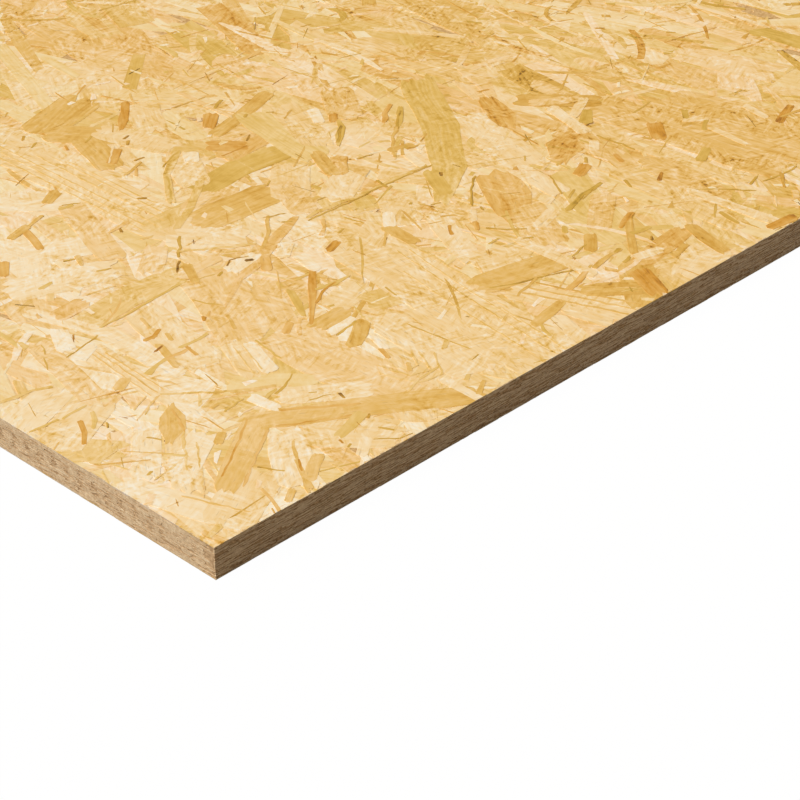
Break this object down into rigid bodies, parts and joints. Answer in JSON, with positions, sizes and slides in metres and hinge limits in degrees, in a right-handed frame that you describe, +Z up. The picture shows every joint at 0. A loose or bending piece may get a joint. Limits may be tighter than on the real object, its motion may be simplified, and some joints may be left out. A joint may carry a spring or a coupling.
{
  "type": "osb panel",
  "caption": "Flat oriented strand board sheet with square sawn butt edges, for floors, walls, roofs and cladding.",
  "frame": {"origin": "centre of the underside, which rests on the floor", "axes": "+X along the 2500 mm length, which the face strands follow, +Y across the 1250 mm width, +Z up through the thickness"},
  "size_m": [2.5, 1.25, 0.018],
  "materials": {
    "strand_board": "sanded, pressed wood strands with a dull resin sheen"
  },
  "bodies": {
    "root": {"osb_sheet": "strand_board"}
  },
  "joints": []
}
